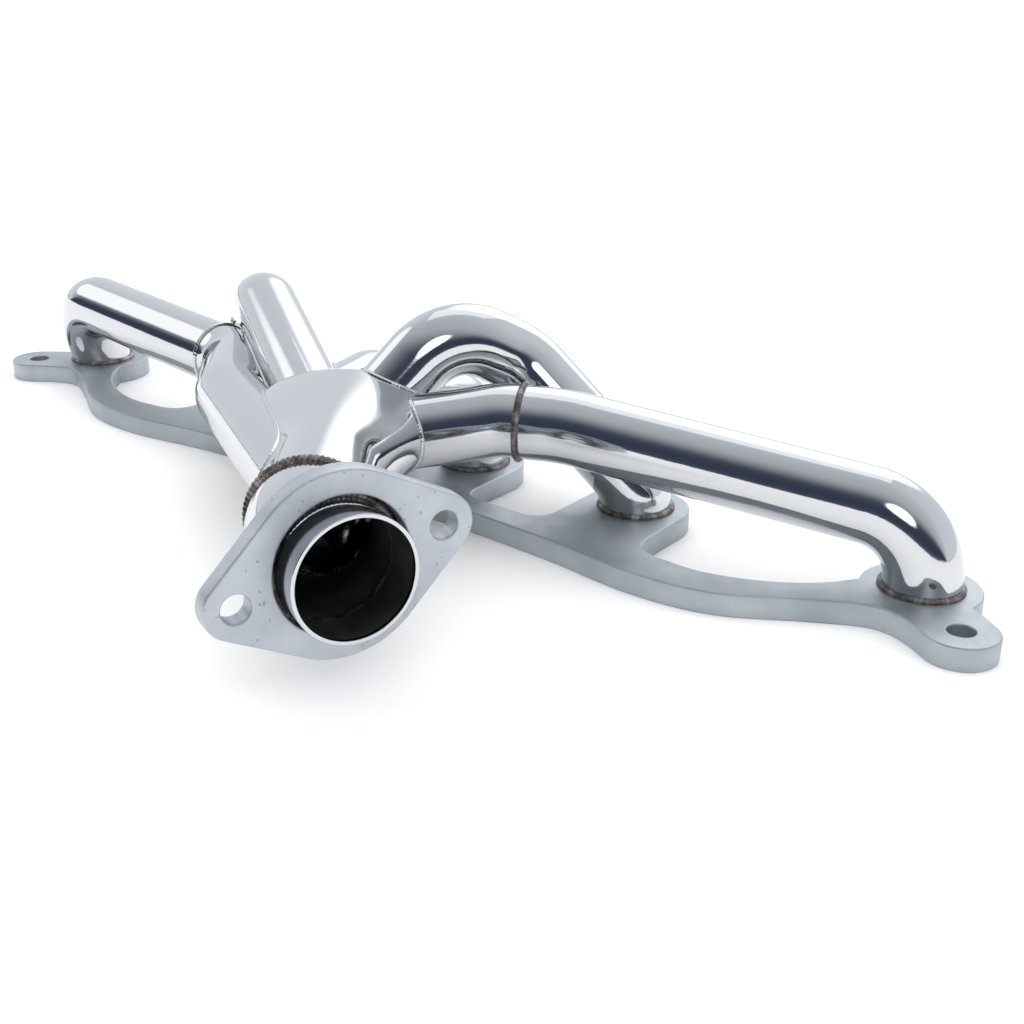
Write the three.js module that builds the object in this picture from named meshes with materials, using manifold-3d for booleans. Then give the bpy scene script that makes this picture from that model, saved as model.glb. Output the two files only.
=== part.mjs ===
// Tubular exhaust manifold for an inline six: six bent primary tubes on one head flange,
// gathered by a tapered oval collector into an outlet pipe with a two-bolt flange.
// Millimetres, +Z up. The head flange lies on its mating face at Z = 0, its ports on the X axis.

import * as THREE from 'three';
import { mergeVertices } from 'three/addons/utils/BufferGeometryUtils.js';
import Module from 'manifold-3d';

const wasm = await Module();
wasm.setup();

// ---- driving dimensions ----
const GAP = 0.3;                 // clearance between pieces that touch
const FLANGE_THICKNESS = 12;
const PORT_X = [-303, -142, -31, 31, 142, 303];
const PORT_BORE = 34.5;
const BOSS_RADIUS = 29;
const LUG = { x: 335, y: -33, radius: 18, hole: 13 };

const TUBE_RADIUS = 19.05;       // 38.1 mm (1.5 in) primary tube
const TUBE_WALL = 1.8;
const OUTLET_RADIUS = 28.6;      // 57.2 mm (2.25 in) outlet pipe
const OUTLET_WALL = 1.8;
const BEAD = 3;                  // leg of a weld bead

const COLLECTOR_WALL = 2.2;
const MOUTH_WIDE = 50;           // half width of the collector's oval mouth
const MOUTH_HIGH = 28;           // half height of the mouth
const MOUTH = [19, -95, 58];     // centre of the mouth
const TAPER = 85;                // length over which the oval turns round
const COLLECTOR_LENGTH = 127;
const DOME = 20;                 // depth of the closed back of the collector

const ELBOW = [106.3, -211.5, 54.6];   // where the outlet pipe turns towards its flange
const OUTLET_END = [152.7, -230.2, 54.6];
const OUTLET_PROUD = 12.2;       // how far the pipe stands out of its flange
const OUTLET_FLANGE = {          // the pipe sits low in the flange's hole, by the lift
  thickness: 9.5, hole: 62, boltHole: 13, boltSpacing: 95.4, lug: 14, body: 42.2, tilt: 10.5,
  lift: 1.5,
};

const ROUND = 8;                 // half the sides of a swept section
const BEND_STEP = THREE.MathUtils.degToRad(15);
const TOP = FLANGE_THICKNESS + GAP;

// ---- materials ----
function metal(color, roughness, metalness) {
  return new THREE.MeshStandardMaterial({ color, roughness, metalness });
}
const POLISHED = () => metal(0xc4c8cc, 0.12, 1.0);
const BLASTED = () => metal(0x9aa3a8, 0.55, 0.9);
const TINTED = () => metal(0x6b5a4c, 0.4, 0.9);

const manifold = new THREE.Group();

function addPiece(name, geometry, material) {
  const mesh = new THREE.Mesh(geometry, material);
  mesh.name = name;
  manifold.add(mesh);
  return mesh;
}

// ---- solids: three.js geometry in and out of the cutting library ----
function toSolid(geometry) {
  const bare = geometry.clone();
  bare.deleteAttribute('normal');
  bare.deleteAttribute('uv');
  const merged = mergeVertices(bare, 1e-4);
  return new wasm.Manifold(new wasm.Mesh({
    numProp: 3,
    vertProperties: new Float32Array(merged.attributes.position.array),
    triVerts: new Uint32Array(merged.index.array),
  }));
}

function toGeometry(solid) {
  const mesh = solid.getMesh();
  const geometry = new THREE.BufferGeometry();
  geometry.setAttribute('position', new THREE.BufferAttribute(mesh.vertProperties, 3));
  geometry.setIndex(new THREE.BufferAttribute(mesh.triVerts, 1));
  return geometry;
}

// A cut tube leaves offcuts inside its neighbour; only the piece itself is kept.
function largest(solid) {
  const pieces = solid.decompose();
  pieces.sort((a, b) => b.volume() - a.volume());
  return pieces[0];
}

// ---- tubes: straight runs joined by bends, with stations only where the tube turns ----
class BentRoute extends THREE.Curve {
  constructor(corners) {
    super();
    this.points = [];
    this.tangents = [];
    const nodes = corners.map(([x, y, z]) => new THREE.Vector3(x, y, z));
    const last = nodes.length - 1;
    const heading = (i) => nodes[i + 1].clone().sub(nodes[i]).normalize();
    this.station(nodes[0], heading(0));
    for (let i = 1; i < last; i += 1) {
      this.bend(nodes[i], heading(i - 1), heading(i), corners[i][3]);
    }
    this.station(nodes[last], heading(last - 1));
  }

  station(point, tangent) {
    this.points.push(point.clone());
    this.tangents.push(tangent.clone());
  }

  bend(corner, before, after, radius) {
    const turn = before.angleTo(after);
    const start = corner.clone().addScaledVector(before, -radius * Math.tan(turn / 2));
    const inward = after.clone().addScaledVector(before, -after.dot(before)).normalize();
    const centre = start.clone().addScaledVector(inward, radius);
    const steps = Math.max(2, Math.ceil(turn / BEND_STEP));
    for (let k = 0; k <= steps; k += 1) {
      const angle = turn * k / steps;
      const point = centre.clone()
        .addScaledVector(inward, -radius * Math.cos(angle))
        .addScaledVector(before, radius * Math.sin(angle));
      const tangent = before.clone().multiplyScalar(Math.cos(angle))
        .addScaledVector(inward, Math.sin(angle));
      this.station(point, tangent);
    }
  }

  getPointAt(u, target = new THREE.Vector3()) {
    return target.copy(this.points[Math.round(u * (this.points.length - 1))]);
  }

  getTangentAt(u, target = new THREE.Vector3()) {
    return target.copy(this.tangents[Math.round(u * (this.tangents.length - 1))]);
  }
}

function disc(radius) {
  return new THREE.Shape().absarc(0, 0, radius, 0, 2 * Math.PI, false);
}

function sweep(section, route) {
  return toSolid(new THREE.ExtrudeGeometry(section, {
    steps: route.points.length - 1,
    curveSegments: ROUND,
    bevelEnabled: false,
    extrudePath: route,
  }));
}

function rod(route, radius) {
  return sweep(disc(radius), route);
}

function pipe(route, radius, wall) {
  const section = disc(radius);
  section.holes.push(new THREE.Path().absarc(0, 0, radius - wall, 0, 2 * Math.PI, true));
  return sweep(section, route);
}

// ---- collector: an oval chamber with a domed back that tapers to the round outlet ----
const mouth = new THREE.Vector3(...MOUTH);
const flow = new THREE.Vector3(...ELBOW).sub(mouth).normalize();
const across = new THREE.Vector3().crossVectors(flow, new THREE.Vector3(0, 0, 1)).normalize();
const upward = new THREE.Vector3().crossVectors(across, flow);

function onCollectorAxis(distance) {
  return mouth.clone().addScaledVector(flow, distance);
}

// Half width and half height of the chamber at a distance along its axis from the mouth,
// where behind the mouth the distance is a share of the dome's depth.
function collectorSection(distance) {
  if (distance < 0) {
    const dome = Math.sqrt(1 - distance ** 2);
    return [MOUTH_WIDE - DOME * (1 - dome), MOUTH_HIGH * (0.35 + 0.65 * dome)];
  }
  const t = Math.min(distance / TAPER, 1);
  const ease = t * t * (3 - 2 * t);
  return [MOUTH_WIDE + (OUTLET_RADIUS - MOUTH_WIDE) * ease,
    MOUTH_HIGH + (OUTLET_RADIUS - MOUTH_HIGH) * ease];
}

// The chamber's outer surface grown by an offset, as one closed loft of oval rings.
function chamber(offset, end) {
  const stations = [-1, -0.9, -0.7, -0.4];
  for (let k = 0; k <= 5; k += 1) {
    stations.push(TAPER * k / 5);
  }
  stations.push(end);
  const sides = 24;
  const positions = [];
  const triangles = [];
  const ringAt = stations.map((distance) => {
    const [wide, high] = collectorSection(distance);
    const centre = onCollectorAxis(distance < 0 ? distance * (DOME + offset) : distance);
    const first = positions.length / 3;
    for (let k = 0; k < sides; k += 1) {
      const angle = 2 * Math.PI * k / sides;
      const point = centre.clone()
        .addScaledVector(across, (wide + offset) * Math.cos(angle))
        .addScaledVector(upward, (high + offset) * Math.sin(angle));
      positions.push(point.x, point.y, point.z);
    }
    return first;
  });
  for (let i = 0; i + 1 < ringAt.length; i += 1) {
    for (let k = 0; k < sides; k += 1) {
      const next = (k + 1) % sides;
      const a = ringAt[i] + k;
      const b = ringAt[i] + next;
      const c = ringAt[i + 1] + next;
      const d = ringAt[i + 1] + k;
      triangles.push(a, c, b, a, d, c);
    }
  }
  const lastRing = ringAt[ringAt.length - 1];
  for (let k = 1; k + 1 < sides; k += 1) {
    triangles.push(ringAt[0], ringAt[0] + k, ringAt[0] + k + 1);
    triangles.push(lastRing, lastRing + k + 1, lastRing + k);
  }
  return new wasm.Manifold(new wasm.Mesh({
    numProp: 3,
    vertProperties: new Float32Array(positions),
    triVerts: new Uint32Array(triangles),
  }));
}

// ---- head flange: a strip in front of the ports with a lobe for each tube ----
function flangeOutline() {
  const edge = new THREE.Path();
  edge.moveTo(0, -63);
  edge.splineThru([[70, -63], [130, -67], [185, -74], [228, -69], [266, -48], [292, -35],
    [308, -37], [322.9, -46.3]].map(([x, y]) => new THREE.Vector2(x, y)));
  edge.absarc(LUG.x, LUG.y, LUG.radius, -2.31, 0.75, false);
  edge.quadraticCurveTo(338, -12, 331, -7.5);
  edge.absarc(PORT_X[5], 0, BOSS_RADIUS, -0.26, Math.PI + 0.35, false);
  edge.splineThru([[262, -27], [240, -42], [212, -51], [186, -50]]
    .map(([x, y]) => new THREE.Vector2(x, y)));
  edge.quadraticCurveTo(171, -48, 171, -34);
  edge.absarc(PORT_X[4], 0, BOSS_RADIUS, 0, Math.PI, false);
  edge.lineTo(113, -34);
  edge.quadraticCurveTo(113, -46, 101, -47);
  edge.lineTo(72, -46);
  edge.quadraticCurveTo(60, -46, 60, -34);
  edge.absarc(PORT_X[3], 0, BOSS_RADIUS, 0, 2.2, false);
  edge.quadraticCurveTo(7, 17, 0, 17);
  const half = edge.getPoints(5);
  const other = half.slice(1, -1).reverse().map((p) => new THREE.Vector2(-p.x, p.y));
  return new THREE.Shape([...half, ...other]);
}

function roundHole(x, y, diameter) {
  return new THREE.Path().absarc(x, y, diameter / 2, 0, 2 * Math.PI, true);
}

const headShape = flangeOutline();
PORT_X.forEach((x) => headShape.holes.push(roundHole(x, 0, PORT_BORE)));
[-1, 1].forEach((side) => headShape.holes.push(roundHole(side * LUG.x, LUG.y, LUG.hole)));
addPiece('head_flange', new THREE.ExtrudeGeometry(headShape, {
  depth: FLANGE_THICKNESS, bevelEnabled: false, curveSegments: ROUND,
}), BLASTED());

// ---- routes of the tubes: corners with the radius of the bend at each ----
const ROOT = 4;                  // the routes begin inside the ports and are cut off square
const SHOULDER_1 = [-303, -19, 59.5];
const SHOULDER_6 = [125, -44, 65];
const JOINT_1 = [-130, -45, 55];
const JOINT_6 = [104, -53.5, 65.5];

// A corner further along the straight leg that runs from one point through another.
function beyond(from, through, distance) {
  const leg = new THREE.Vector3(...through).sub(new THREE.Vector3(...from)).normalize();
  return new THREE.Vector3(...through).addScaledVector(leg, distance).toArray();
}

const ROUTES = {
  primary_tube_3: [[-31, 0, ROOT], [-31, 0, 55, 36], [3, -124, 57]],
  primary_tube_4: [[31, 0, ROOT], [31, 0, 55, 36], [38, -110, 56]],
  elbow_tube_1: [JOINT_1, [...beyond(SHOULDER_1, JOINT_1, 17), 45], [-66, -98, 56, 60],
    [75, -181, 56]],
  elbow_tube_6: [JOINT_6, [...beyond(SHOULDER_6, JOINT_6, 10), 45], [25, -105, 50]],
  primary_tube_2: [[-142, 0, ROOT], [-144, -2, 93, 38], [2.3, -97.2, 59.3]],
  primary_tube_5: [[142, 0, ROOT], [142, 0, 24, 28], [76, -14, 84, 34], [50, -46, 105, 34],
    [23, -90, 52]],
  primary_tube_1: [[-303, 0, ROOT], [...SHOULDER_1, 36], JOINT_1],
  primary_tube_6: [[303, 0, ROOT], [303, 0, 46, 33], [...SHOULDER_6, 90], JOINT_6],
};
const below = toSolid(new THREE.BoxGeometry(800, 200, 40).translate(0, 0, TOP - 20));
const MERGING = Object.keys(ROUTES).slice(0, 6);
const routes = Object.fromEntries(
  Object.entries(ROUTES).map(([name, corners]) => [name, new BentRoute(corners)]),
);

// Each merging tube is coped to the collector and to the tubes already fitted beside it.
const chamberOuter = chamber(GAP, COLLECTOR_LENGTH);
const chamberBead = chamber(BEAD, COLLECTOR_LENGTH);
const fitted = [];
let shell = chamber(0, COLLECTOR_LENGTH - GAP)
  .subtract(chamber(-COLLECTOR_WALL, COLLECTOR_LENGTH + 5));

MERGING.forEach((name) => {
  const route = routes[name];
  let tube = pipe(route, TUBE_RADIUS, TUBE_WALL).subtract(chamberOuter).subtract(below);
  let bead = rod(route, TUBE_RADIUS + BEAD).intersect(chamberBead)
    .subtract(rod(route, TUBE_RADIUS + GAP))
    .subtract(chamberOuter);
  fitted.forEach((other) => {
    tube = tube.subtract(rod(other, TUBE_RADIUS + GAP));
    bead = bead.subtract(rod(other, TUBE_RADIUS + BEAD + GAP));
  });
  MERGING.slice(fitted.length + 1).forEach((later) => {
    bead = bead.subtract(rod(routes[later], TUBE_RADIUS + GAP));
  });
  shell = shell.subtract(rod(route, TUBE_RADIUS - TUBE_WALL));
  addPiece(name, toGeometry(largest(tube)), POLISHED());
  addPiece(`merge_weld_${name.slice(-1)}`, toGeometry(largest(bead)), TINTED());
  fitted.push(route);
});
addPiece('collector_body', toGeometry(largest(shell)), POLISHED());

// The two outer primaries run clear of the collector and are butt-welded to their elbows.
function shortened(route) {
  const cut = route.points.length - 1;
  route.points[cut].addScaledVector(route.tangents[cut], -GAP);
  return route;
}
['primary_tube_1', 'primary_tube_6'].forEach((name) => {
  const tube = pipe(shortened(routes[name]), TUBE_RADIUS, TUBE_WALL).subtract(below);
  addPiece(name, toGeometry(tube), POLISHED());
});

// ---- weld beads ----
// The bore of a faceted ring that clears a tube of a given radius all round.
function clearOf(radius) {
  return (radius + GAP) / Math.cos(Math.PI / (2 * ROUND));
}

// A fillet bead in the corner between a tube and a plate.
function beadRing(tubeRadius, leg, height) {
  const inner = clearOf(tubeRadius);
  const profile = [[inner, 0], [inner + leg, 0], [inner + 0.6 * leg, 0.55 * height],
    [inner, height], [inner, 0]].map(([x, y]) => new THREE.Vector2(x, y));
  return new THREE.LatheGeometry(profile, 2 * ROUND);
}

// A low rounded bead over a butt joint between two tube ends.
function crownRing(tubeRadius, leg, height) {
  const inner = clearOf(tubeRadius);
  const profile = [[inner, -leg], [inner + 0.8 * height, -0.5 * leg], [inner + height, 0],
    [inner + 0.8 * height, 0.5 * leg], [inner, leg], [inner, -leg]]
    .map(([x, y]) => new THREE.Vector2(x, y));
  return new THREE.LatheGeometry(profile, 2 * ROUND);
}

function place(mesh, origin, axis) {
  mesh.position.set(...origin);
  mesh.quaternion.setFromUnitVectors(new THREE.Vector3(0, 1, 0), axis);
}

PORT_X.forEach((x, i) => {
  const name = `port_weld_${i + 1}`;
  const route = routes[`primary_tube_${i + 1}`];
  const bead = addPiece(name, beadRing(TUBE_RADIUS, 4.2, 4), TINTED());
  bead.position.set(x, 0, TOP);
  bead.rotation.x = Math.PI / 2;
  bead.updateMatrixWorld(true);
  const solid = toSolid(bead.geometry.clone().applyMatrix4(bead.matrixWorld));
  bead.geometry = toGeometry(largest(solid.subtract(rod(route, TUBE_RADIUS + GAP))));
  bead.position.set(0, 0, 0);
  bead.rotation.set(0, 0, 0);
});

[['joint_weld_1', 'primary_tube_1'], ['joint_weld_6', 'primary_tube_6']].forEach(([name, tube]) => {
  const route = routes[tube];
  const last = route.points.length - 1;
  const bead = addPiece(name, crownRing(TUBE_RADIUS, 3, 1.6), TINTED());
  place(bead, route.points[last].toArray(), route.tangents[last]);
});

// ---- outlet ----
const outletStart = onCollectorAxis(COLLECTOR_LENGTH);
const outletRoute = new BentRoute([outletStart.toArray(), [...ELBOW, 55], OUTLET_END]);
addPiece('outlet_pipe', toGeometry(pipe(outletRoute, OUTLET_RADIUS, OUTLET_WALL)), POLISHED());
const seam = addPiece('collector_weld', crownRing(OUTLET_RADIUS, 3, 1.6), TINTED());
place(seam, outletStart.toArray(), flow);

function outletFlangeShape() {
  const { boltSpacing, lug, body, hole, boltHole } = OUTLET_FLANGE;
  const reach = boltSpacing / 2;
  const lean = Math.asin((body - lug) / reach);
  const side = Math.PI / 2 - lean;
  const shape = new THREE.Shape();
  shape.absarc(reach, 0, lug, -side, side, false);
  shape.absarc(0, 0, body, side, Math.PI - side, false);
  shape.absarc(-reach, 0, lug, Math.PI - side, Math.PI + side, false);
  shape.absarc(0, 0, body, Math.PI + side, 2 * Math.PI - side, false);
  shape.holes.push(roundHole(0, 0, hole));
  [-1, 1].forEach((k) => shape.holes.push(roundHole(k * reach, 0, boltHole)));
  return shape;
}

const outletAxis = new THREE.Vector3(...OUTLET_END).sub(new THREE.Vector3(...ELBOW)).normalize();
const outletLevel = new THREE.Vector3(-outletAxis.y, outletAxis.x, 0).normalize();
const outletUp = new THREE.Vector3().crossVectors(outletAxis, outletLevel);
const turned = new THREE.Matrix4().makeBasis(outletLevel, outletUp, outletAxis);
const outletFlange = addPiece('outlet_flange', new THREE.ExtrudeGeometry(outletFlangeShape(), {
  depth: OUTLET_FLANGE.thickness, bevelEnabled: false, curveSegments: ROUND,
}), BLASTED());
outletFlange.geometry.rotateZ(THREE.MathUtils.degToRad(OUTLET_FLANGE.tilt));
outletFlange.quaternion.setFromRotationMatrix(turned);
outletFlange.position.set(...OUTLET_END)
  .addScaledVector(outletAxis, -OUTLET_PROUD - OUTLET_FLANGE.thickness)
  .addScaledVector(outletUp, OUTLET_FLANGE.lift);

const rear = new THREE.Vector3(...OUTLET_END)
  .addScaledVector(outletAxis, -OUTLET_PROUD - OUTLET_FLANGE.thickness - GAP);
const rearWeld = addPiece('outlet_flange_weld', beadRing(OUTLET_RADIUS, 5, 4.5), TINTED());
place(rearWeld, rear.toArray(), outletAxis.clone().negate());

export default manifold;
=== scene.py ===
import math

import bpy
import numpy as np
from mathutils import Matrix, Vector
from mathutils.geometry import tessellate_polygon


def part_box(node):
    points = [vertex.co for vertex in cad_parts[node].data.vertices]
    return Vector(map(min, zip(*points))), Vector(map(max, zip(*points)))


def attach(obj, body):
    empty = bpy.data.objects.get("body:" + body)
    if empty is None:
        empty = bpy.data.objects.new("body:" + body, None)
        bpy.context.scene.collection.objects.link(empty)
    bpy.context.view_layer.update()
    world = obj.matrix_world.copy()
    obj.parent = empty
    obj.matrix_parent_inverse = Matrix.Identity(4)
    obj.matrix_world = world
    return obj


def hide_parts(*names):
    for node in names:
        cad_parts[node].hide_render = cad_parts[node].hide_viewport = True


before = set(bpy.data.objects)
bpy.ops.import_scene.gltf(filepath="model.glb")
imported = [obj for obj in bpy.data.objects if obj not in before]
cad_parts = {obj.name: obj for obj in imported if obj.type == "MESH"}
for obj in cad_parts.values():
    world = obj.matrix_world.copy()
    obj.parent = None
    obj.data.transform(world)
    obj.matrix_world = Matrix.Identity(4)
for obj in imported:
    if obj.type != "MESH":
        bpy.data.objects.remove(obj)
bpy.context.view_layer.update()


# ---- Camera, floor and light ----
# The manifold lies on its head flange on a white table, seen from above the outlet end.
# A wide white studio with one dark side gives the polished tubes their stripes.

CAMERA_PLACE = (0.5115, -0.6093, 0.2994)
CAMERA_AZIMUTH = math.radians(36.59)
CAMERA_ELEVATION = math.radians(22.40)
CAMERA_ROLL = math.radians(1.03)
CAMERA_LENS = 49.9


def camera_axes(azimuth, elevation, roll):
    """The camera's right, up and backward directions, turned about the view line by the roll."""
    forward = Vector((-math.sin(azimuth) * math.cos(elevation),
                      math.cos(azimuth) * math.cos(elevation),
                      -math.sin(elevation)))
    level = Vector((math.cos(azimuth), math.sin(azimuth), 0))
    upright = level.cross(forward)
    right = level * math.cos(roll) + upright * math.sin(roll)
    up = upright * math.cos(roll) - level * math.sin(roll)
    return right, up, -forward


camera_data = bpy.data.cameras.new("camera")
camera_data.lens = CAMERA_LENS
camera = bpy.data.objects.new("camera", camera_data)
turn = Matrix(camera_axes(CAMERA_AZIMUTH, CAMERA_ELEVATION, CAMERA_ROLL)).transposed()
camera.matrix_world = Matrix.Translation(CAMERA_PLACE) @ turn.to_4x4()
bpy.context.scene.collection.objects.link(camera)
bpy.context.scene.camera = camera
bpy.context.scene.view_settings.view_transform = "Standard"

FLOOR_HALF = 6.0
FLOOR_COLOUR = (0.95, 0.955, 0.965, 1)
floor_mesh = bpy.data.meshes.new("floor")
floor_mesh.from_pydata([(-FLOOR_HALF, -FLOOR_HALF, 0), (FLOOR_HALF, -FLOOR_HALF, 0),
                        (FLOOR_HALF, FLOOR_HALF, 0), (-FLOOR_HALF, FLOOR_HALF, 0)],
                       [], [(0, 1, 2, 3)])
floor = bpy.data.objects.new("floor", floor_mesh)
bpy.context.scene.collection.objects.link(floor)
floor_paint = bpy.data.materials.new("floor_paper")
floor_paint.use_nodes = True
floor_paint.node_tree.nodes["Principled BSDF"].inputs["Base Color"].default_value = FLOOR_COLOUR
floor_paint.node_tree.nodes["Principled BSDF"].inputs["Roughness"].default_value = 0.9
floor_mesh.materials.append(floor_paint)

PITCH_LIGHT = [                      # share of the arc from the front horizon over to the back
    (0.00, (0.10, 0.12, 0.17)), (0.05, (0.04, 0.05, 0.09)), (0.19, (0.05, 0.06, 0.10)),
    (0.25, (0.19, 0.21, 0.25)), (0.31, (0.41, 0.43, 0.47)), (0.38, (0.58, 0.61, 0.65)),
    (0.50, (0.64, 0.67, 0.71)), (0.60, (0.78, 0.81, 0.86)), (0.70, (0.84, 0.87, 0.93)),
    (1.00, (0.88, 0.91, 0.97))]
FRONT = (0.08, -0.997, 0.0)
PANELS = [                           # direction, cosines of the outer and inner edge, level
    ((-0.22, 0.80, 0.56), 0.890, 0.960, 1.9),
    ((-0.86, -0.10, 0.50), 0.955, 0.975, 1.5),
    ((0.58, -0.62, 0.53), 0.972, 0.984, 2.2)]
ROOM_LIGHT = 1.35                    # what the camera and diffuse rays see


def studio_world():
    """White for the camera and for diffuse light. Reflections see a studio instead: light grey
    behind and overhead, dark in front above the table, with bright panels round it."""
    world = bpy.data.worlds.new("studio")
    world.use_nodes = True
    tree = world.node_tree
    tree.nodes.clear()
    node, link = tree.nodes.new, tree.links.new
    look = node("ShaderNodeTexCoord").outputs["Generated"]

    def toward(direction):
        dot = node("ShaderNodeVectorMath")
        dot.operation = "DOT_PRODUCT"
        dot.inputs[1].default_value = direction
        link(look, dot.inputs[0])
        return dot.outputs["Value"]

    pitch = node("ShaderNodeMath")
    pitch.operation = "ARCTAN2"
    link(toward((0, 0, 1)), pitch.inputs[0])
    link(toward(FRONT), pitch.inputs[1])
    share = node("ShaderNodeMapRange")
    share.inputs["From Max"].default_value = math.pi
    link(pitch.outputs[0], share.inputs["Value"])
    light = node("ShaderNodeValToRGB")
    light.color_ramp.interpolation = "B_SPLINE"
    stops = light.color_ramp.elements
    while len(stops) < len(PITCH_LIGHT):
        stops.new(0.5)
    for stop, (position, colour) in zip(stops, PITCH_LIGHT):
        stop.position = position
        stop.color = (*colour, 1)
    link(share.outputs["Result"], light.inputs["Fac"])
    studio = light.outputs["Color"]
    for direction, outer, inner, level in PANELS:
        edge = node("ShaderNodeMapRange")
        edge.interpolation_type = "SMOOTHSTEP"
        edge.inputs["From Min"].default_value = outer
        edge.inputs["From Max"].default_value = inner
        link(toward(direction), edge.inputs["Value"])
        panel = node("ShaderNodeMix")
        panel.data_type = "RGBA"
        link(edge.outputs["Result"], panel.inputs["Factor"])
        link(studio, panel.inputs[6])
        panel.inputs[7].default_value = (level, level, level, 1)
        studio = panel.outputs[2]
    rays = node("ShaderNodeLightPath")
    seen = node("ShaderNodeMix")
    seen.data_type = "RGBA"
    link(rays.outputs["Is Glossy Ray"], seen.inputs["Factor"])
    seen.inputs[6].default_value = (ROOM_LIGHT, ROOM_LIGHT, ROOM_LIGHT, 1)
    link(studio, seen.inputs[7])
    background = node("ShaderNodeBackground")
    link(seen.outputs[2], background.inputs["Color"])
    output = node("ShaderNodeOutputWorld")
    link(background.outputs[0], output.inputs["Surface"])
    return world


bpy.context.scene.world = studio_world()

top_light = bpy.data.lights.new("top_softbox", "AREA")
top_light.shape = "RECTANGLE"
top_light.size = 1.6
top_light.size_y = 1.0
top_light.energy = 2.5
top_lamp = bpy.data.objects.new("top_softbox", top_light)
top_lamp.location = (-0.3, 0.7, 1.5)
top_lamp.rotation_euler = (Vector((0, -0.05, 0)) - top_lamp.location).to_track_quat(
    "-Z", "Y").to_euler()
bpy.context.scene.collection.objects.link(top_lamp)


# ---- Head flange ----
# A 12 mm steel plate cut to a strip in front of the ports, with a lobe round each port and a
# lug at each end. It is blasted to a satin grey, and its edges are just broken.

MM = 0.001
PORTS = [0.5 * (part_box(f"port_weld_{i}")[0][0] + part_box(f"port_weld_{i}")[1][0])
         for i in range(1, 7)]
FLANGE_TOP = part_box("head_flange")[1][2]
BOSS_RADIUS = 29 * MM
PORT_BORE = 17.25 * MM
LUG_PLACE = (335 * MM, -33 * MM)
LUG_RADIUS = 18 * MM
LUG_HOLE = 6.5 * MM
EDGE = 0.9 * MM


def arc(centre, radius, start, end, count):
    """Points at equal angles along a circle, from the start angle to the end angle."""
    angle = np.linspace(start, end, count)
    return np.c_[centre[0] + radius * np.cos(angle), centre[1] + radius * np.sin(angle)]


def through(points, count):
    """A Catmull-Rom curve through the points: each stretch is the cubic whose end slopes are
    half the step between the neighbours on both sides."""
    p = np.array(points, float) * MM
    p = np.vstack([p[0], p, p[-1]])
    t = np.linspace(0, 1, count, endpoint=False)[:, None]
    stretches = []
    for i in range(1, len(p) - 2):
        slope_0 = 0.5 * (p[i + 1] - p[i - 1])
        slope_1 = 0.5 * (p[i + 2] - p[i])
        stretches.append((2 * t**3 - 3 * t**2 + 1) * p[i] + (t**3 - 2 * t**2 + t) * slope_0
                         + (3 * t**2 - 2 * t**3) * p[i + 1] + (t**3 - t**2) * slope_1)
    return np.vstack(stretches + [p[-1:]])


def fillet(start, corner, end, count):
    """A quadratic curve that leaves the start towards the corner and arrives at the end."""
    t = np.linspace(0, 1, count)[:, None]
    a, b, c = (np.array(point) * MM for point in (start, corner, end))
    return (1 - t)**2 * a + 2 * t * (1 - t) * b + t**2 * c


def evenly(loop, spacing):
    """The closed loop redrawn with points at equal steps along its length."""
    ring = np.vstack([loop, loop[:1]])
    along = np.r_[0, np.cumsum(np.linalg.norm(np.diff(ring, axis=0), axis=1))]
    at = np.linspace(0, along[-1], max(12, int(along[-1] / spacing)), endpoint=False)
    return np.c_[np.interp(at, along, ring[:, 0]), np.interp(at, along, ring[:, 1])]


def flange_outline():
    """Half of the plate's edge from the middle of its front to the middle of its back, then
    the same mirrored."""
    half = np.vstack([
        through([(0, -63), (70, -63), (130, -67), (185, -74), (228, -69), (266, -48),
                 (292, -35), (308, -37), (322.9, -46.3)], 24),
        arc(LUG_PLACE, LUG_RADIUS, -2.31, 0.75, 40),
        fillet((348.2, -20.7), (338, -12), (331, -7.5), 10),
        arc((303 * MM, 0), BOSS_RADIUS, -0.26, math.pi + 0.35, 60),
        through([(275.8, -9.9), (262, -27), (240, -42), (212, -51), (186, -50)], 16),
        fillet((186, -50), (171, -48), (171, -34), 14),
        arc((142 * MM, 0), BOSS_RADIUS, 0, math.pi, 60),
        fillet((113, -34), (113, -46), (101, -47), 14),
        fillet((72, -46), (60, -46), (60, -34), 14),
        arc((31 * MM, 0), BOSS_RADIUS, 0, 2.2, 44),
        fillet((13.9, 23.4), (7, 17), (0, 17), 8),
    ])
    mirrored = half[1:-1][::-1] * (-1, 1)
    return evenly(np.vstack([half, mirrored]), 1.2 * MM)


def round_hole(x, y, radius, count=72):
    """A circle run clockwise, so that the metal is on its left."""
    return arc((x, y), radius, 0, -2 * math.pi, count + 1)[:-1]


def inward(loop):
    """The unit direction across the edge, into the metal, at each point of a closed loop."""
    along = np.roll(loop, -1, axis=0) - np.roll(loop, 1, axis=0)
    along /= np.linalg.norm(along, axis=1, keepdims=True)
    return np.c_[-along[:, 1], along[:, 0]]


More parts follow.
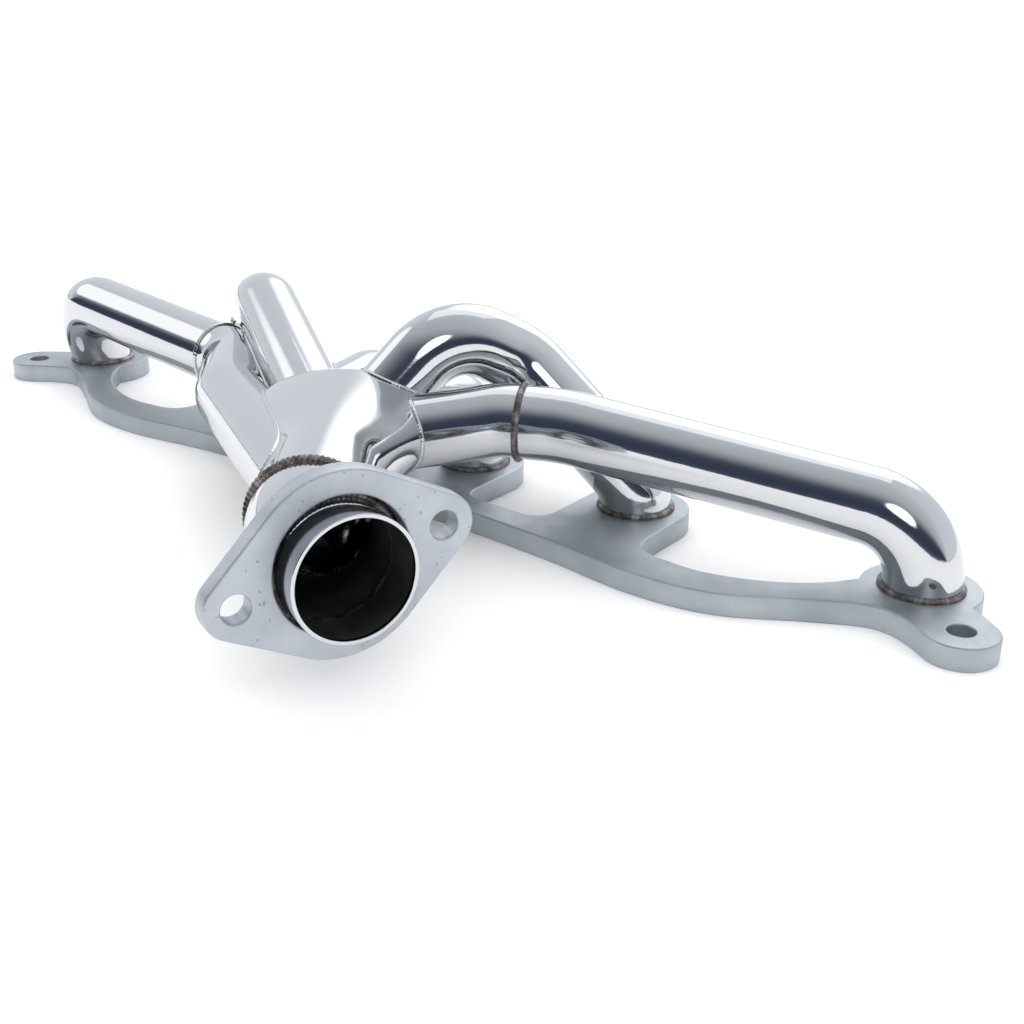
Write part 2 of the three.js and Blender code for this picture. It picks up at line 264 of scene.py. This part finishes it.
def plate(loops, low, high, edge):
    """A flat plate with rounded edges. Along every loop runs one profile: in from the edge on
    the lower face, a quarter circle out, straight up, a quarter circle in, and on to the upper
    face. The two faces fill the innermost rings."""
    angle = np.linspace(0, math.pi / 2, 5)
    inset = np.r_[1.6 * edge, edge * (1 - np.sin(angle)), edge * (1 - np.cos(angle)), 1.6 * edge]
    height = np.r_[low, low + edge * (1 - np.cos(angle)),
                   high - edge * (1 - np.sin(angle)), high]
    vertices, faces, lower, upper, flat = [], [], [], [], []
    count = 0
    for loop in loops:
        across = inward(loop)
        ring = loop[None] + inset[:, None, None] * across[None]
        level = np.broadcast_to(height[:, None, None], ring.shape[:2] + (1,))
        vertices.append(np.concatenate([ring, level], axis=2).reshape(-1, 3))
        rows, n = ring.shape[:2]
        index = count + np.arange(rows * n).reshape(rows, n)
        after = np.roll(index, -1, axis=1)
        faces.append(np.stack([index[:-1], after[:-1], after[1:], index[1:]], axis=2)
                     .reshape(-1, 4))
        lower.append(index[0])
        upper.append(index[-1])
        flat.append([Vector((x, y, 0)) for x, y in ring[0]])
        count += rows * n
    fill = np.array(tessellate_polygon(flat))
    points = np.vstack(vertices)
    bottom = np.concatenate(lower)[fill]
    top = np.concatenate(upper)[fill]
    a, b, c = (points[top[:, k], :2] for k in range(3))
    left_handed = np.cross(b - a, c - a) < 0
    top[left_handed] = top[left_handed][:, ::-1]
    bottom[~left_handed] = bottom[~left_handed][:, ::-1]
    return points, [tuple(f) for block in faces for f in block] + [
        tuple(f) for f in np.vstack([top, bottom])]


def add_piece(name, points, faces, materials, slot, stands_for):
    """A new object at the origin with smooth faces, riding on the one body of the manifold."""
    mesh = bpy.data.meshes.new(name)
    mesh.from_pydata(points.tolist(), [], faces)
    for material in materials:
        mesh.materials.append(material)
    mesh.polygons.foreach_set("use_smooth", np.ones(len(mesh.polygons), bool))
    mesh.update()
    piece = bpy.data.objects.new(name, mesh)
    bpy.context.scene.collection.objects.link(piece)
    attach(piece, "root")
    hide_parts(*stands_for)
    return piece


def new_material(name):
    """An empty node material with its shader and an Object coordinate, and quick ways to add
    and join nodes."""
    material = bpy.data.materials.new(name)
    material.use_nodes = True
    tree = material.node_tree
    shader = tree.nodes["Principled BSDF"]
    place = tree.nodes.new("ShaderNodeTexCoord").outputs["Object"]
    return material, tree.nodes.new, tree.links.new, shader, place


def noise(node, link, place, scale, detail, stretch=(1, 1, 1)):
    """Cloudy noise of a given scale, stretched along the axes."""
    mapping = node("ShaderNodeMapping")
    mapping.inputs["Scale"].default_value = stretch
    link(place, mapping.inputs["Vector"])
    texture = node("ShaderNodeTexNoise")
    texture.inputs["Scale"].default_value = scale
    texture.inputs["Detail"].default_value = detail
    link(mapping.outputs["Vector"], texture.inputs["Vector"])
    return texture.outputs["Fac"]


def ramp(node, link, value, stops):
    """A colour ramp through (position, colour) stops."""
    colours = node("ShaderNodeValToRGB")
    elements = colours.color_ramp.elements
    while len(elements) < len(stops):
        elements.new(0.5)
    for element, (position, colour) in zip(elements, stops):
        element.position = position
        element.color = (*colour, 1)
    link(value, colours.inputs["Fac"])
    return colours.outputs["Color"]


def bump(node, link, height, strength, distance, under=None):
    """Bump of a strength and depth, laid over another bump where one is given."""
    raised = node("ShaderNodeBump")
    raised.inputs["Strength"].default_value = strength
    raised.inputs["Distance"].default_value = distance
    link(height, raised.inputs["Height"])
    if under is not None:
        link(under, raised.inputs["Normal"])
    return raised.outputs["Normal"]


def blasted_steel(name, light, dark, pits):
    """Satin steel: cloudy grey, fine grain from the blasting, and scattered small pits."""
    material, node, link, shader, place = new_material(name)
    cloud = noise(node, link, place, 28, 5)
    link(ramp(node, link, cloud, [(0.3, dark), (0.7, light)]), shader.inputs["Base Color"])
    shader.inputs["Metallic"].default_value = 0.85
    rough = node("ShaderNodeMapRange")
    rough.inputs["To Min"].default_value = 0.36
    rough.inputs["To Max"].default_value = 0.56
    link(noise(node, link, place, 90, 3), rough.inputs["Value"])
    link(rough.outputs["Result"], shader.inputs["Roughness"])
    grain = bump(node, link, noise(node, link, place, 1600, 2), 0.25, 0.0002)
    spots = node("ShaderNodeTexVoronoi")
    spots.inputs["Scale"].default_value = 210
    link(place, spots.inputs["Vector"])
    hollow = node("ShaderNodeMapRange")
    hollow.inputs["From Min"].default_value = 0.05
    hollow.inputs["From Max"].default_value = 0.16
    link(spots.outputs["Distance"], hollow.inputs["Value"])
    link(bump(node, link, hollow.outputs["Result"], pits, 0.0004, grain),
         shader.inputs["Normal"])
    return material


flange_steel = blasted_steel("blasted_flange_steel", (0.46, 0.50, 0.54), (0.34, 0.38, 0.41), 0.40)
flange_loops = [flange_outline()]
flange_loops += [round_hole(x, 0, PORT_BORE) for x in PORTS]
flange_loops += [round_hole(side * LUG_PLACE[0], LUG_PLACE[1], LUG_HOLE, 48) for side in (-1, 1)]
add_piece("head_flange_plate", *plate(flange_loops, 0, FLANGE_TOP, EDGE),
          [flange_steel], "blasted_flange", ["head_flange"])


# ---- Routes of the tubes ----
# Each tube is a straight tube bent on a mandrel. A route is its corners in millimetres, with
# the radius of the bend at each, as the frame has them.

TUBE_RADIUS = 19.05 * MM
TUBE_WALL = 1.8 * MM
ROOT = 4
SHOULDER_1 = (-303, -19, 59.5)
SHOULDER_6 = (125, -44, 65)
JOINT_1 = (-130, -45, 55)
JOINT_6 = (104, -53.5, 65.5)


def beyond(start, joint, distance):
    """The corner a distance further along the straight leg from the start through the joint."""
    leg = np.subtract(joint, start)
    return tuple(np.array(joint) + distance * leg / np.linalg.norm(leg))


ROUTES = {
    "primary_tube_1": [(-303, 0, ROOT), (*SHOULDER_1, 36), JOINT_1],
    "primary_tube_2": [(-142, 0, ROOT), (-144, -2, 93, 38), (2.3, -97.2, 59.3)],
    "primary_tube_3": [(-31, 0, ROOT), (-31, 0, 55, 36), (3, -124, 57)],
    "primary_tube_4": [(31, 0, ROOT), (31, 0, 55, 36), (38, -110, 56)],
    "primary_tube_5": [(142, 0, ROOT), (142, 0, 24, 28), (76, -14, 84, 34),
                       (50, -46, 105, 34), (23, -90, 52)],
    "primary_tube_6": [(303, 0, ROOT), (303, 0, 46, 33), (*SHOULDER_6, 90), JOINT_6],
    "elbow_tube_1": [JOINT_1, (*beyond(SHOULDER_1, JOINT_1, 17), 45), (-66, -98, 56, 60),
                     (75, -181, 56)],
    "elbow_tube_6": [JOINT_6, (*beyond(SHOULDER_6, JOINT_6, 10), 45), (25, -105, 50)],
}


class Route:
    """Straight legs joined by circular bends, with a frame carried along it without twist."""

    def __init__(self, corners):
        nodes = [np.array(c[:3], float) * MM for c in corners]
        points = [nodes[0]]
        for i in range(1, len(nodes) - 1):
            before = nodes[i] - nodes[i - 1]
            after = nodes[i + 1] - nodes[i]
            before /= np.linalg.norm(before)
            after /= np.linalg.norm(after)
            bend = math.acos(float(before @ after))
            radius = corners[i][3] * MM
            start = nodes[i] - before * radius * math.tan(bend / 2)
            inside = after - before * (after @ before)
            inside /= np.linalg.norm(inside)
            angle = np.linspace(0, bend, max(4, int(bend / math.radians(1.5))))[:, None]
            points.append(start + radius * (inside * (1 - np.cos(angle))
                                            + before * np.sin(angle)))
        points.append(nodes[-1])
        rough = np.vstack(points)
        along = np.r_[0, np.cumsum(np.linalg.norm(np.diff(rough, axis=0), axis=1))]
        self.length = along[-1]
        self.s = np.linspace(0, self.length, int(self.length / (1.0 * MM)))
        self.point = np.stack([np.interp(self.s, along, rough[:, k]) for k in range(3)], axis=1)
        tangent = np.gradient(self.point, axis=0)
        self.tangent = tangent / np.linalg.norm(tangent, axis=1, keepdims=True)
        side = np.cross(self.tangent[0], (0.0, 1.0, 0.0))
        if np.linalg.norm(side) < 0.3:
            side = np.cross(self.tangent[0], (0.0, 0.0, 1.0))
        sides = []
        for step in self.tangent:
            side = side - step * (side @ step)
            side = side / np.linalg.norm(side)
            sides.append(side)
        self.side = np.array(sides)

    def at(self, values, s):
        """A stored direction or point read at any distances s along the route."""
        return np.stack([np.interp(s, self.s, values[:, k]) for k in range(3)], axis=-1)

    def surface(self, s, angle, radius):
        """Point on a round tube: the centre at s plus the radius times the cosine of the angle
        along the side direction and its sine across it. Gives the points and the normals."""
        centre = self.at(self.point, s)
        side = self.at(self.side, s)
        across = np.cross(self.at(self.tangent, s), side)
        normal = np.cos(angle)[..., None] * side + np.sin(angle)[..., None] * across
        normal /= np.linalg.norm(normal, axis=-1, keepdims=True)
        return centre + np.asarray(radius)[..., None] * normal, normal

    def distance(self, places):
        """The distance of each place from the route's centre line."""
        flat = places.reshape(-1, 3)
        best = np.full(len(flat), np.inf)
        for point in self.point[::2]:
            best = np.minimum(best, np.linalg.norm(flat - point, axis=1))
        return best.reshape(places.shape[:-1])


routes = {name: Route(corners) for name, corners in ROUTES.items()}


# ---- Collector ----
# A formed stainless chamber with an oval mouth and a domed back, which tapers to the round
# outlet pipe. The tubes are coped to it and welded round.

MOUTH = np.array((19, -95, 58)) * MM
ELBOW = np.array((106.3, -211.5, 54.6)) * MM
OUTLET_RADIUS = 28.6 * MM
MOUTH_WIDE = 50 * MM
MOUTH_HIGH = 28 * MM
DOME = 20 * MM
TAPER = 85 * MM
COLLECTOR_LENGTH = 127 * MM
COLLECTOR_WALL = 2.2 * MM
FLOW = (ELBOW - MOUTH) / np.linalg.norm(ELBOW - MOUTH)
ACROSS = np.cross(FLOW, (0, 0, 1))
ACROSS /= np.linalg.norm(ACROSS)
UPWARD = np.cross(ACROSS, FLOW)


def collector_section(distance):
    """Half width and half height at a distance from the mouth: behind it an elliptic dome,
    in front of it an ease from the oval to the outlet's circle."""
    back = np.clip(-distance / DOME, 0, 1)
    dome = np.sqrt(1 - back**2)
    t = np.clip(distance / TAPER, 0, 1)
    ease = t * t * (3 - 2 * t)
    wide = np.where(distance < 0, MOUTH_WIDE - DOME * (1 - dome),
                    MOUTH_WIDE + (OUTLET_RADIUS - MOUTH_WIDE) * ease)
    high = np.where(distance < 0, MOUTH_HIGH * (0.35 + 0.65 * dome),
                    MOUTH_HIGH + (OUTLET_RADIUS - MOUTH_HIGH) * ease)
    return wide, high


def collector_depth(places):
    """Roughly how far each place is outside the chamber, and less than zero inside it: the
    oval's own radius measure, less one, times the smaller half axis."""
    offset = places - MOUTH
    along = offset @ FLOW
    wide, high = collector_section(np.clip(along, -DOME, None))
    ratio = np.sqrt((offset @ ACROSS / wide)**2 + (offset @ UPWARD / high)**2)
    radial = (ratio - 1) * np.minimum(wide, high)
    return np.maximum(radial, -DOME - along)


def grid_faces(rows, columns):
    """Quads that join a grid of points row to row, closed round the columns."""
    index = np.arange(rows * columns).reshape(rows, columns)
    after = np.roll(index, -1, axis=1)
    quads = np.stack([index[:-1], index[1:], after[1:], after[:-1]], axis=2)
    return [tuple(q) for q in quads.reshape(-1, 4)]


def ring_faces(rows, columns):
    """Quads of a closed skin: the grid of rows, then one more strip from the last row back to
    the first."""
    last_row = (rows - 1) * columns
    strip = [tuple(int(last_row + i) if i < columns else int(i - columns) for i in face)
             for face in grid_faces(2, columns)]
    return grid_faces(rows, columns) + strip


def polished_steel(name):
    """Mirror-polished stainless: faint polishing lines and waves, and round each weld the
    colours of the heat, straw to brown to near black, read from the piece's heat attribute."""
    material, node, link, shader, place = new_material(name)
    heat = node("ShaderNodeAttribute")
    heat.attribute_name = "heat"
    stain = noise(node, link, place, 70, 4)
    shifted = node("ShaderNodeMath")
    shifted.operation = "MULTIPLY_ADD"
    shifted.inputs[1].default_value = 0.35
    shifted.inputs[2].default_value = -0.175
    link(stain, shifted.inputs[0])
    uneven = node("ShaderNodeMath")
    uneven.operation = "ADD"
    link(heat.outputs["Fac"], uneven.inputs[0])
    link(shifted.outputs[0], uneven.inputs[1])
    colour = ramp(node, link, uneven.outputs[0], [
        (0.22, (0.61, 0.62, 0.635)), (0.40, (0.52, 0.46, 0.38)), (0.58, (0.30, 0.22, 0.16)),
        (0.78, (0.13, 0.095, 0.08)), (0.95, (0.05, 0.04, 0.04))])
    link(colour, shader.inputs["Base Color"])
    shader.inputs["Metallic"].default_value = 1.0
    rough = node("ShaderNodeMapRange")
    rough.inputs["From Min"].default_value = 0.2
    rough.inputs["From Max"].default_value = 1.0
    rough.inputs["To Min"].default_value = 0.07
    rough.inputs["To Max"].default_value = 0.42
    link(uneven.outputs[0], rough.inputs["Value"])
    link(rough.outputs["Result"], shader.inputs["Roughness"])
    wave = bump(node, link, noise(node, link, place, 22, 2), 0.10, 0.002)
    lines = noise(node, link, place, 700, 2, (0.12, 1, 1))
    link(bump(node, link, lines, 0.05, 0.0002, wave), shader.inputs["Normal"])
    return material


tube_steel = polished_steel("polished_tube_steel")


def set_heat(piece, values):
    """Stores how near each point is to a weld, from 0 to 1, for the heat colours."""
    layer = piece.data.attributes.new("heat", "FLOAT", "POINT")
    layer.data.foreach_set("value", np.clip(values, 0, 1).astype(np.float32).ravel())


HEAT_REACH = 7 * MM                  # how fast the colour fades away from a weld
collector_along = np.r_[-DOME * np.cos(np.linspace(0, math.pi / 2, 24)) * 0.9999,
                        np.linspace(0, COLLECTOR_LENGTH, 90)[1:]]
collector_round = np.linspace(0, 2 * math.pi, 144, endpoint=False)


def collector_ring(distance, angle, offset):
    """Point on the chamber: along the flow by the distance, across by the half width times the
    cosine of the angle and up by the half height times its sine, both grown by the offset."""
    wide, high = collector_section(distance)
    return (MOUTH + distance[:, None, None] * FLOW
            + ((wide + offset)[:, None] * np.cos(angle))[..., None] * ACROSS
            + ((high + offset)[:, None] * np.sin(angle))[..., None] * UPWARD)


shell = collector_ring(collector_along, collector_round, 0.0)
inner = collector_ring(collector_along, collector_round, -COLLECTOR_WALL)
back_outer, back_inner = MOUTH - DOME * FLOW, MOUTH - (DOME - COLLECTOR_WALL) * FLOW
rows, columns = shell.shape[:2]
shell_points = np.vstack([shell.reshape(-1, 3), inner[::-1].reshape(-1, 3),
                          back_outer, back_inner])
ring = np.arange(columns)
last = 2 * rows * columns
shell_faces = [tuple(f)[::-1] for f in grid_faces(2 * rows, columns)]
shell_faces += [(last, int(a), int(b)) for a, b in zip(ring, np.roll(ring, -1))]
inner_ring = last - columns + ring
shell_faces += [(last + 1, int(b), int(a)) for a, b in zip(inner_ring, np.roll(inner_ring, -1))]
collector = add_piece("collector_chamber", shell_points, shell_faces, [tube_steel],
                      "polished_tube", ["collector_body"])
set_heat(collector, np.zeros(len(shell_points)))


# ---- Primary tubes and elbows ----
# 38 mm stainless tubes, one to each port. Tubes 1 and 6 lie along the flange and go on through
# a butt-welded elbow; every tube that reaches the collector is coped to it and its neighbours.

TUBE_SIDES = 112
BUTT_GAP = 0.3 * MM                  # between tube 1 or 6 and its elbow, under the bead
FOOT_REACH = 0.04                    # a tube has left the flange within this distance
BURNT, CLEANED = 1.0, 0.35           # how much of the heat colour was left at a weld
MERGING = ["primary_tube_3", "primary_tube_4", "elbow_tube_1", "elbow_tube_6",
           "primary_tube_2", "primary_tube_5"]
turn_round = np.linspace(0, 2 * math.pi, TUBE_SIDES, endpoint=False)


def first_entry(route, depth, radius):
    """For each side of the tube, the distance along it at which its surface first comes to
    zero depth, found between two samples by a straight line."""
    s = route.s[:, None]
    places, _ = route.surface(np.broadcast_to(s, (len(route.s), TUBE_SIDES)),
                              np.broadcast_to(turn_round, (len(route.s), TUBE_SIDES)),
                              np.full((len(route.s), TUBE_SIDES), radius))
    value = depth(places)
    value[: len(route.s) // 3] = np.maximum(value[: len(route.s) // 3], 1e-6)
    inside = value < 0
    hit = np.where(inside.any(axis=0), inside.argmax(axis=0), len(route.s) - 1)
    column = np.arange(TUBE_SIDES)
    before, after = value[hit - 1, column], value[hit, column]
    share = np.clip(before / np.where(before - after == 0, 1, before - after), 0, 1)
    return route.s[hit - 1] + share * (route.s[hit] - route.s[hit - 1])


def leaves_flange(route, radius):
    """For each side of the tube, the distance along it at which it rises out of the flange."""
    count = int(np.searchsorted(route.s, FOOT_REACH))
    s = route.s[:count, None]
    places, _ = route.surface(np.broadcast_to(s, (count, TUBE_SIDES)),
                              np.broadcast_to(turn_round, (count, TUBE_SIDES)),
                              np.full((count, TUBE_SIDES), radius))
    above = places[..., 2] - FLANGE_TOP > 0
    hit = above.argmax(axis=0)
    column = np.arange(TUBE_SIDES)
    low = places[hit - 1, column, 2] - FLANGE_TOP
    high = places[hit, column, 2] - FLANGE_TOP
    return route.s[hit - 1] + (route.s[hit] - route.s[hit - 1]) * (-low / (high - low))


def tube_piece(name, route, start, end, hot_start, hot_end):
    """A tube as one closed skin: the outer surface from start to end, round the cut end, and
    back down the bore. Start and end are distances along the route for each side, and the heat
    at either falls off as an exponential of the distance from it."""
    steps = int(route.length / (1.6 * MM))
    share = np.linspace(0, 1, steps)[:, None]
    s = start[None] + share * (end - start)[None]
    angle = np.broadcast_to(turn_round, s.shape)
    outer, _ = route.surface(s, angle, np.full(s.shape, TUBE_RADIUS))
    bore, _ = route.surface(s, angle, np.full(s.shape, TUBE_RADIUS - TUBE_WALL))
    points = np.vstack([outer.reshape(-1, 3), bore[::-1].reshape(-1, 3)])
    faces = ring_faces(2 * steps, TUBE_SIDES)
    heat = np.maximum(hot_start * np.exp(-(s - start) / HEAT_REACH),
                      hot_end * np.exp(-(end - s) / HEAT_REACH))
    piece = add_piece(name + "_skin", points, faces, [tube_steel], "polished_tube", [name])
    set_heat(piece, np.vstack([heat, heat[::-1]]))
    return outer


ends = {}
rims = {}
fitted = []
for name in MERGING:
    route = routes[name]
    neighbours = list(fitted)

    def depth(places, neighbours=neighbours):
        value = collector_depth(places)
        for other in neighbours:
            value = np.minimum(value, other.distance(places) - TUBE_RADIUS)
        return value

    ends[name] = first_entry(route, depth, TUBE_RADIUS)
    fitted.append(route)
for name in ("primary_tube_1", "primary_tube_6"):
    ends[name] = np.full(TUBE_SIDES, routes[name].length - BUTT_GAP)
for name, route in routes.items():
    start = (leaves_flange(route, TUBE_RADIUS) if name.startswith("primary")
             else np.zeros(TUBE_SIDES))
    hot_start = BURNT if name != "elbow_tube_1" else CLEANED
    hot_end = BURNT if name == "primary_tube_6" else CLEANED
    rims[name] = tube_piece(name, route, start, ends[name], hot_start, hot_end)


# ---- Weld beads ----
# Each joint is closed by a hand-laid bead, a row of overlapping ripples.
# The metal next to it is coloured straw, brown and near black by the heat.

BEAD_RADIUS = 2.0 * MM
JOINT_6_RADIUS = 1.9 * MM
BLENDED_RADIUS = 1.3 * MM            # what is left of a bead that was ground and polished over
FOOT_LIFT = 0.0006                   # centre of a foot bead above the flange
RIPPLE = 2.4 * MM
BEAD_SIDES = 16


def weld_steel():
    """Bead metal: dark brown and grey scale with a duller, grainy surface."""
    material, node, link, shader, place = new_material("tinted_weld_steel")
    mottle = noise(node, link, place, 160, 5)
    link(ramp(node, link, mottle, [(0.30, (0.06, 0.052, 0.05)), (0.50, (0.19, 0.165, 0.15)),
                                   (0.72, (0.42, 0.40, 0.39))]), shader.inputs["Base Color"])
    shader.inputs["Metallic"].default_value = 0.95
    shader.inputs["Roughness"].default_value = 0.38
    link(bump(node, link, noise(node, link, place, 900, 3), 0.3, 0.0003),
         shader.inputs["Normal"])
    return material


bead_steel = weld_steel()
blended_steel = polished_steel("blended_weld_steel")


def bead(name, rim, stands_for, radius=BEAD_RADIUS, ripple=0.15, steel=bead_steel):
    """A bead round a closed rim: a small circle carried round the rim, whose radius rises and
    falls as a row of half circles, one to each ripple, leaning round the bead."""
    closed = np.vstack([rim, rim[:1]])
    along = np.r_[0, np.cumsum(np.linalg.norm(np.diff(closed, axis=0), axis=1))]
    ripples = round(along[-1] / RIPPLE)
    s = np.linspace(0, along[-1], 8 * ripples, endpoint=False)
    centre = np.stack([np.interp(s, along, closed[:, k]) for k in range(3)], axis=1)
    for _ in range(6):
        centre = (np.roll(centre, 1, axis=0) + 2 * centre + np.roll(centre, -1, axis=0)) / 4
    tangent = np.roll(centre, -1, axis=0) - np.roll(centre, 1, axis=0)
    tangent /= np.linalg.norm(tangent, axis=1, keepdims=True)
    out = centre - centre.mean(axis=0)
    out -= tangent * (out * tangent).sum(axis=1, keepdims=True)
    out /= np.linalg.norm(out, axis=1, keepdims=True)
    side = np.cross(tangent, out)
    angle = np.linspace(0, 2 * math.pi, BEAD_SIDES, endpoint=False)
    phase = np.mod(s[:, None] / along[-1] * ripples + 0.35 * np.cos(angle)[None], 1)
    swell = 1 - ripple + ripple * np.sqrt(1 - (2 * phase - 1)**2)
    points = (centre[:, None] + radius * (swell * np.cos(angle))[..., None] * out[:, None]
              + radius * (swell * np.sin(angle))[..., None] * side[:, None])
    rows = len(s)
    index = np.arange(rows * BEAD_SIDES).reshape(rows, BEAD_SIDES)
    below = np.roll(index, -1, axis=0)
    quads = np.stack([index, np.roll(index, -1, axis=1), np.roll(below, -1, axis=1), below],
                     axis=2).reshape(-1, 4)
    return add_piece(name, points.reshape(-1, 3), [tuple(q) for q in quads], [steel],
                     "tinted_weld", stands_for)


for number in range(1, 7):
    name = f"primary_tube_{number}"
    bead(f"foot_bead_{number}", rims[name][0] + (0, 0, FOOT_LIFT), [f"port_weld_{number}"])
for name in MERGING:
    bead(f"merge_bead_{name[-1]}", rims[name][-1], [f"merge_weld_{name[-1]}"],
         BLENDED_RADIUS, 0.10, blended_steel)
bead("joint_bead_1", rims["primary_tube_1"][-1], ["joint_weld_1"], BLENDED_RADIUS, 0.10,
     blended_steel)
bead("joint_bead_6", rims["primary_tube_6"][-1], ["joint_weld_6"], JOINT_6_RADIUS)


# ---- Outlet ----
# A 57 mm pipe runs from the collector through a flat two-bolt flange and stands proud of it.
# It is welded to the collector and to the back of the flange.

OUTLET_END = np.array((152.7, -230.2, 54.6)) * MM
OUTLET_PROUD = 12.2 * MM             # how far the pipe stands out of its flange
OUTLET_LIFT = 1.5 * MM               # how far the pipe sits below the middle of the hole
OUTLET_WALL = 1.8 * MM
outlet_route = Route([tuple((MOUTH + COLLECTOR_LENGTH * FLOW) / MM), (*(ELBOW / MM), 55),
                      tuple(OUTLET_END / MM)])
OUTLET_SIDES = 128
outlet_round = np.linspace(0, 2 * math.pi, OUTLET_SIDES, endpoint=False)


def bore_shade_steel():
    """The bore of the outlet: painted shade, a dull near-black colour standing for the deep shade
    inside the pipe.
    """
    material, node, link, shader, place = new_material("pipe_bore_painted_shade")
    # Painted shade: near-black colours for the inside of the pipe.
    link(ramp(node, link, noise(node, link, place, 60, 4),
              [(0.35, (0.012, 0.011, 0.011)), (0.7, (0.04, 0.036, 0.034))]),
         shader.inputs["Base Color"])
    shader.inputs["Metallic"].default_value = 0.3
    shader.inputs["Roughness"].default_value = 0.7
    return material


LIP = 0.35 * MM                      # rounding of the pipe's mouth
steps = int(outlet_route.length / (1.5 * MM))
lip_turn = np.linspace(0, math.pi / 2, 4)
outlet_s = np.r_[np.linspace(0, outlet_route.length - LIP, steps),
                 outlet_route.length - LIP * (1 - np.sin(lip_turn[1:]))]
outlet_r = np.r_[np.full(steps, OUTLET_RADIUS), OUTLET_RADIUS - LIP * (1 - np.cos(lip_turn[1:]))]
bore_s = outlet_s[::-1]
bore_r = 2 * OUTLET_RADIUS - OUTLET_WALL - outlet_r[::-1]
skin_s = np.r_[outlet_s, bore_s][:, None] + np.zeros(OUTLET_SIDES)
skin_r = np.r_[outlet_r, bore_r][:, None] + np.zeros(OUTLET_SIDES)
skin, _ = outlet_route.surface(skin_s, np.broadcast_to(outlet_round, skin_s.shape), skin_r)
faces = ring_faces(len(skin), OUTLET_SIDES)
# The pipe's bore takes the second material, painted near black as shade.
outlet = add_piece("outlet_pipe_skin", skin.reshape(-1, 3), faces,
                   [tube_steel, bore_shade_steel()], "polished_tube", ["outlet_pipe"])
bore_from = (len(outlet_s) + 4) * OUTLET_SIDES
outlet.data.polygons.foreach_set(
    "material_index", (np.arange(len(faces)) >= bore_from).astype(np.int32))
set_heat(outlet, 0.8 * np.exp(-skin_s / HEAT_REACH))

FLANGE_DEPTH = 9.5 * MM
BOLT_REACH = 47.7 * MM
BODY_RADIUS = 42.2 * MM
EAR_RADIUS = 14 * MM
HOLE_RADIUS = 31 * MM
BOLT_HOLE = 6.5 * MM
TILT = math.radians(10.5)
lean = math.asin((BODY_RADIUS - EAR_RADIUS) / BOLT_REACH)
quarter = math.pi / 2 - lean
outlet_outline = np.vstack([
    arc((BOLT_REACH, 0), EAR_RADIUS, -quarter, quarter, 40),
    arc((0, 0), BODY_RADIUS, quarter, math.pi - quarter, 40),
    arc((-BOLT_REACH, 0), EAR_RADIUS, math.pi - quarter, math.pi + quarter, 40),
    arc((0, 0), BODY_RADIUS, math.pi + quarter, 2 * math.pi - quarter, 40)])
outlet_loops = [evenly(outlet_outline, 1.0 * MM), round_hole(0, 0, HOLE_RADIUS, 120),
                round_hole(BOLT_REACH, 0, BOLT_HOLE, 48), round_hole(-BOLT_REACH, 0, BOLT_HOLE, 48)]
flat, outlet_faces = plate(outlet_loops, -FLANGE_DEPTH, 0, EDGE)
axis = (OUTLET_END - ELBOW) / np.linalg.norm(OUTLET_END - ELBOW)
level = np.array((-axis[1], axis[0], 0)) / np.linalg.norm(axis[:2])
raised = np.cross(axis, level)
bolt_line = level * math.cos(TILT) + raised * math.sin(TILT)
bolt_up = raised * math.cos(TILT) - level * math.sin(TILT)
outlet_face = OUTLET_END - OUTLET_PROUD * axis + OUTLET_LIFT * raised
outlet_points = (outlet_face + flat[:, :1] * bolt_line + flat[:, 1:2] * bolt_up
                 + flat[:, 2:] * axis)
outlet_steel = blasted_steel("outlet_flange_steel", (0.53, 0.56, 0.61), (0.38, 0.41, 0.45), 0.9)
add_piece("outlet_flange_plate", outlet_points, outlet_faces, [outlet_steel],
          "blasted_flange", ["outlet_flange"])

SEAM_BEAD = 2.6 * MM
BACK_BEAD = 3.2 * MM
BACK_BEAD_STANDOFF = 1.5 * MM        # centre of the bead behind the flange's back face
zero = np.zeros(OUTLET_SIDES)
seam_rim, _ = outlet_route.surface(zero, outlet_round, zero + OUTLET_RADIUS)
bead("collector_bead", seam_rim, ["collector_weld"], SEAM_BEAD, 0.35)
behind = outlet_route.length - OUTLET_PROUD - FLANGE_DEPTH - BACK_BEAD_STANDOFF
back_rim, _ = outlet_route.surface(zero + behind, outlet_round, zero + OUTLET_RADIUS + MM)
bead("outlet_flange_bead", back_rim, ["outlet_flange_weld"], BACK_BEAD)
